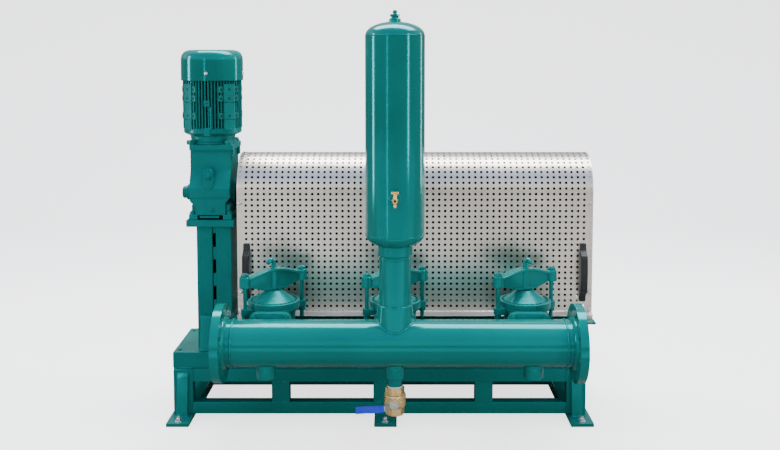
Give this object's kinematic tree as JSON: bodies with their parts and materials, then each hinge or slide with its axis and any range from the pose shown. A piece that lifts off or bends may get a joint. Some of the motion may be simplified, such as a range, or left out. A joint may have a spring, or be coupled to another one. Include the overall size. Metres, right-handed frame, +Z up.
{
  "type": "disc pump",
  "caption": "Motor-driven disc pump on a welded base frame, with flanged manifolds, yoke-clamped valve chambers, a perforated guard and a tall air vessel.",
  "frame": {"origin": "on the floor, at the middle of the machine's whole box; the crankshaft's axis is 8.75 mm behind it", "axes": "+X along the crankshaft, away from the motor; -Y is the discharge side with the air vessel; +Z up"},
  "size_m": [1.712, 1.4424, 1.6325],
  "materials": {
    "pump_green": "glossy blue-green machine paint",
    "stainless": "rolled stainless sheet",
    "brass": "cast and turned brass",
    "black_plastic": "moulded, matt",
    "blue_vinyl": "dipped vinyl sleeve"
  },
  "bodies": {
    "pump": {"front_frame": "pump_green", "rear_frame": "pump_green", "left_bottom_rail": "pump_green", "left_top_rail": "pump_green", "right_bottom_rail": "pump_green", "right_top_rail": "pump_green", "bed": "pump_green", "deck_plate": "pump_green", "pump_body_left": "pump_green", "discharge_chamber_left": "pump_green", "discharge_yoke_left": "pump_green", "suction_chamber_left": "pump_green", "suction_yoke_left": "pump_green", "pump_body_middle": "pump_green", "discharge_chamber_middle": "pump_green", "discharge_yoke_middle": "pump_green", "suction_chamber_middle": "pump_green", "suction_yoke_middle": "pump_green", "pump_body_right": "pump_green", "discharge_chamber_right": "pump_green", "discharge_yoke_right": "pump_green", "suction_chamber_right": "pump_green", "suction_yoke_right": "pump_green", "discharge_pipe": "pump_green", "discharge_flange_left": "pump_green", "discharge_flange_right": "pump_green", "suction_pipe": "pump_green", "suction_flange_left": "pump_green", "suction_flange_right": "pump_green", "riser": "pump_green", "vessel_shell": "pump_green", "vessel_top_head": "pump_green", "vessel_bottom_head": "pump_green", "cock_body": "brass", "drain_nipple": "pump_green", "ball_valve": "brass", "guard": "stainless", "guard_handle_left": "black_plastic", "guard_handle_right": "black_plastic", "crankshaft": "pump_green", "pedestal_left_channel": "pump_green", "pedestal_right_channel": "pump_green", "pedestal_stiffener": "pump_green", "pedestal_top_plate": "pump_green", "gear_unit": "pump_green", "motor": "pump_green", "fan_cowl": "pump_green"},
    "drain_lever": {"lever_blade": "stainless", "lever_grip": "blue_vinyl"},
    "cock_handle": {"cock_handle": "brass"}
  },
  "joints": [
    {"name": "drain_lever_turn", "type": "hinge", "parent": "pump", "child": "drain_lever", "pos_m": [0.056, -0.61625, 0.237], "axis": [0, -1, 0], "range_deg": [0, 84]},
    {"name": "cock_handle_turn", "type": "hinge", "parent": "pump", "child": "cock_handle", "pos_m": [0.056, -0.70425, 1.005], "axis": [0, 0, 1], "range_deg": [0, 90]}
  ]
}
